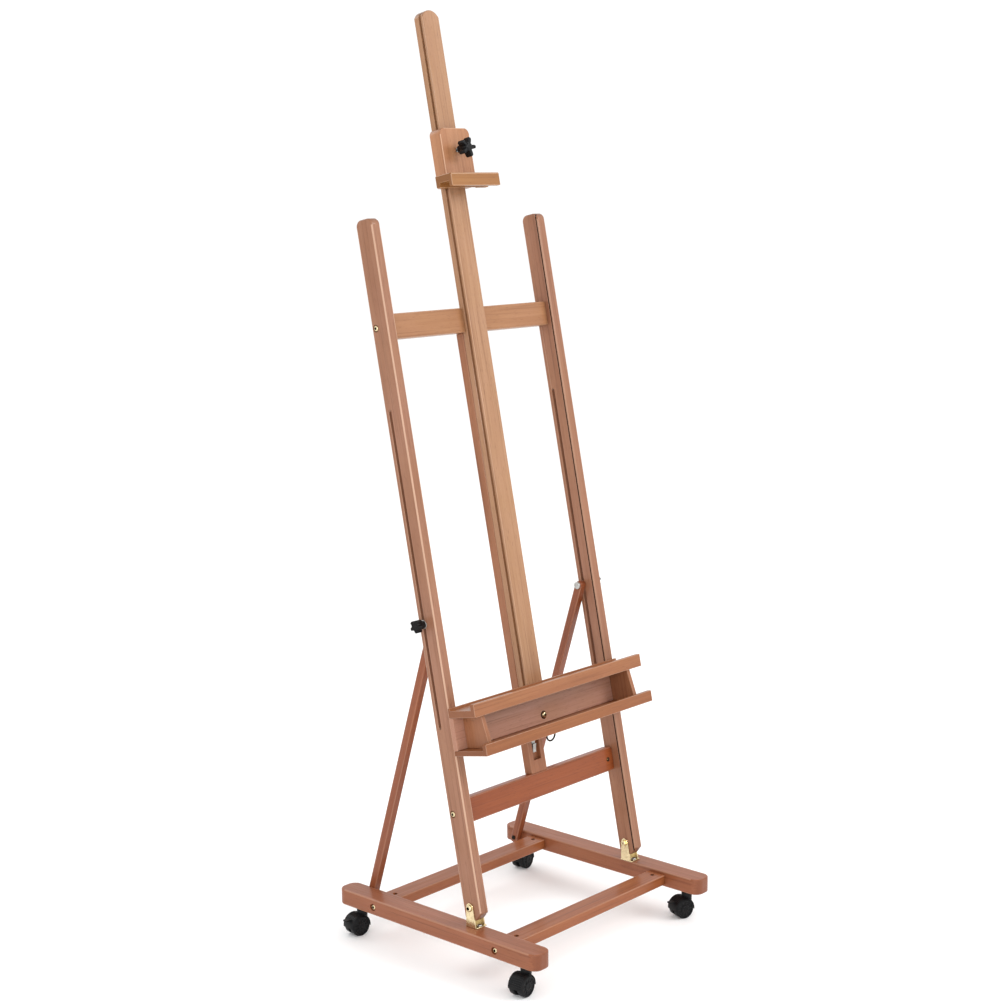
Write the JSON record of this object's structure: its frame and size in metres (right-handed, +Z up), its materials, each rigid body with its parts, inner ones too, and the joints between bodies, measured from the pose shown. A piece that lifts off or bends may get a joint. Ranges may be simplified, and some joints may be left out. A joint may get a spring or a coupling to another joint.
{
  "type": "studio easel",
  "caption": "Wooden H-frame studio easel on swivel castors, with a tilting frame on slotted struts, a sliding ratchet mast, a brush tray and a sliding top clamp.",
  "frame": {"origin": "on the floor, under the middle of the base", "axes": "+Z up, +Y from the painter towards the back of the easel, +X to the right as the painter faces it"},
  "size_m": [0.5978, 0.557, 1.9215],
  "materials": {
    "oiled_beech": "satin",
    "pale_beech": "satin",
    "black_plastic": "matte",
    "plated_brass": "satin",
    "zinc_steel": "satin"
  },
  "bodies": {
    "base": {"runner_left": "oiled_beech", "bracket_left": "plated_brass", "bracket_screw_left": "zinc_steel", "tilt_bolt_left": "plated_brass", "base_bolt_front_left": "plated_brass", "base_bolt_rear_left": "plated_brass", "runner_right": "oiled_beech", "bracket_right": "plated_brass", "bracket_screw_right": "zinc_steel", "tilt_bolt_right": "plated_brass", "base_bolt_front_right": "plated_brass", "base_bolt_rear_right": "plated_brass", "base_crossbar_front": "oiled_beech", "base_crossbar_rear": "oiled_beech"},
    "castor_front_left": {"castor_hood_front_left": "black_plastic"},
    "wheels_front_left": {"castor_wheels_front_left": "black_plastic"},
    "castor_front_right": {"castor_hood_front_right": "black_plastic"},
    "wheels_front_right": {"castor_wheels_front_right": "black_plastic"},
    "brake_front_right": {"castor_brake_front_right": "black_plastic"},
    "castor_rear_left": {"castor_hood_rear_left": "black_plastic"},
    "wheels_rear_left": {"castor_wheels_rear_left": "black_plastic"},
    "brake_rear_left": {"castor_brake_rear_left": "black_plastic"},
    "castor_rear_right": {"castor_hood_rear_right": "black_plastic"},
    "wheels_rear_right": {"castor_wheels_rear_right": "black_plastic"},
    "frame": {"upright_left": "oiled_beech", "frame_bolt_low_left": "plated_brass", "frame_bolt_high_left": "plated_brass", "upright_right": "oiled_beech", "frame_bolt_low_right": "plated_brass", "frame_bolt_high_right": "plated_brass", "upper_crossbar": "oiled_beech", "lower_crossbar": "oiled_beech", "rear_post": "oiled_beech", "ratchet_rack": "zinc_steel"},
    "lock_left": {"lock_bolt_left": "zinc_steel"},
    "lock_knob_left": {"lock_knob_left": "black_plastic"},
    "strut_left": {"strut_left": "oiled_beech", "strut_screw_left": "zinc_steel"},
    "lock_right": {"lock_bolt_right": "zinc_steel"},
    "lock_knob_right": {"lock_knob_right": "black_plastic"},
    "strut_right": {"strut_right": "oiled_beech", "strut_screw_right": "zinc_steel"},
    "mast": {"mast": "pale_beech", "tray_ledge": "oiled_beech", "tray_board": "pale_beech", "tray_shelf": "oiled_beech", "tray_bolt": "zinc_steel", "tray_divider_left": "oiled_beech", "tray_divider_right": "oiled_beech"},
    "pawl": {"ratchet_pawl": "zinc_steel"},
    "ring": {"pull_ring": "zinc_steel"},
    "clamp": {"clamp_block": "pale_beech", "clamp_shoe": "black_plastic", "clamp_bar": "oiled_beech"},
    "clamp_knob": {"clamp_knob": "black_plastic"}
  },
  "joints": [
    {"name": "swivel_front_left", "type": "hinge", "parent": "base", "child": "castor_front_left", "pos_m": [-0.263, -0.2315, 0.05], "axis": [0, 0, 1], "continuous": true},
    {"name": "roll_front_left", "type": "hinge", "parent": "castor_front_left", "child": "wheels_front_left", "pos_m": [-0.27697, -0.23248, 0.0215], "axis": [-0.0698, 0.9976, 0], "continuous": true},
    {"name": "swivel_front_right", "type": "hinge", "parent": "base", "child": "castor_front_right", "pos_m": [0.263, -0.2315, 0.05], "axis": [0, 0, 1], "continuous": true},
    {"name": "roll_front_right", "type": "hinge", "parent": "castor_front_right", "child": "wheels_front_right", "pos_m": [0.24984, -0.22671, 0.0215], "axis": [0.342, 0.9397, 0], "continuous": true},
    {"name": "brake_front_right_press", "type": "hinge", "parent": "castor_front_right", "child": "brake_front_right", "pos_m": [0.23688, -0.22199, 0.036], "axis": [-0.342, -0.9397, 0], "range_deg": [0, 10]},
    {"name": "swivel_rear_left", "type": "hinge", "parent": "base", "child": "castor_rear_left", "pos_m": [-0.263, 0.2315, 0.05], "axis": [0, 0, 1], "continuous": true},
    {"name": "roll_rear_left", "type": "hinge", "parent": "castor_rear_left", "child": "wheels_rear_left", "pos_m": [-0.27686, 0.23345, 0.0215], "axis": [0.1392, 0.9903, 0], "continuous": true},
    {"name": "brake_rear_left_press", "type": "hinge", "parent": "castor_rear_left", "child": "brake_rear_left", "pos_m": [-0.29053, 0.23537, 0.036], "axis": [-0.1392, -0.9903, 0], "range_deg": [0, 10]},
    {"name": "swivel_rear_right", "type": "hinge", "parent": "base", "child": "castor_rear_right", "pos_m": [0.263, 0.2315, 0.05], "axis": [0, 0, 1], "continuous": true},
    {"name": "roll_rear_right", "type": "hinge", "parent": "castor_rear_right", "child": "wheels_rear_right", "pos_m": [0.24908, 0.23004, 0.0215], "axis": [-0.1045, 0.9945, 0], "continuous": true},
    {"name": "frame_tilt", "type": "hinge", "parent": "base", "child": "frame", "pos_m": [0, -0.0813, 0.1351], "axis": [-1, 0, 0], "range_deg": [-4, 10]},
    {"name": "lock_slide_left", "type": "slide", "parent": "frame", "child": "lock_left", "axis": [0, 0.1977, 0.9803], "range_m": [-0.024, 0.058]},
    {"name": "lock_turn_left", "type": "hinge", "parent": "lock_left", "child": "lock_knob_left", "pos_m": [-0.275, 0.03771, 0.70002], "axis": [1, 0, 0], "continuous": true},
    {"name": "strut_swing_left", "type": "hinge", "parent": "lock_left", "child": "strut_left", "pos_m": [-0.229, 0.03771, 0.70002], "axis": [-1, 0, 0], "range_deg": [-0.3, 0.6]},
    {"name": "lock_slide_right", "type": "slide", "parent": "frame", "child": "lock_right", "axis": [0, 0.1977, 0.9803], "range_m": [-0.024, 0.058]},
    {"name": "lock_turn_right", "type": "hinge", "parent": "lock_right", "child": "lock_knob_right", "pos_m": [0.275, 0.03771, 0.70002], "axis": [1, 0, 0], "continuous": true},
    {"name": "strut_swing_right", "type": "hinge", "parent": "lock_right", "child": "strut_right", "pos_m": [0.229, 0.03771, 0.70002], "axis": [-1, 0, 0], "range_deg": [-0.3, 0.6]},
    {"name": "mast_slide", "type": "slide", "parent": "frame", "child": "mast", "axis": [0, 0.1977, 0.9803], "range_m": [-0.05, 0.6]},
    {"name": "pawl_release", "type": "hinge", "parent": "mast", "child": "pawl", "pos_m": [0, -0.02381, 0.46423], "axis": [-1, 0, 0], "range_deg": [0, 8]},
    {"name": "ring_swing", "type": "hinge", "parent": "pawl", "child": "ring", "pos_m": [0.04775, -0.03112, 0.42796], "axis": [1, 0, 0], "range_deg": [-35, 35]},
    {"name": "clamp_slide", "type": "slide", "parent": "mast", "child": "clamp", "axis": [0, 0.1977, 0.9803], "range_m": [-0.9, 0.21]},
    {"name": "clamp_knob_turn", "type": "hinge", "parent": "clamp", "child": "clamp_knob", "pos_m": [0, 0.16072, 1.63893], "axis": [0, 0.9803, -0.1977], "continuous": true}
  ],
  "couplings": [
    {"joint": "lock_slide_left", "follows": "frame_tilt", "m_per_rad": 0.328},
    {"joint": "strut_swing_left", "follows": "frame_tilt", "ratio": 0.04},
    {"joint": "lock_slide_right", "follows": "frame_tilt", "m_per_rad": 0.328},
    {"joint": "strut_swing_right", "follows": "frame_tilt", "ratio": 0.04}
  ]
}
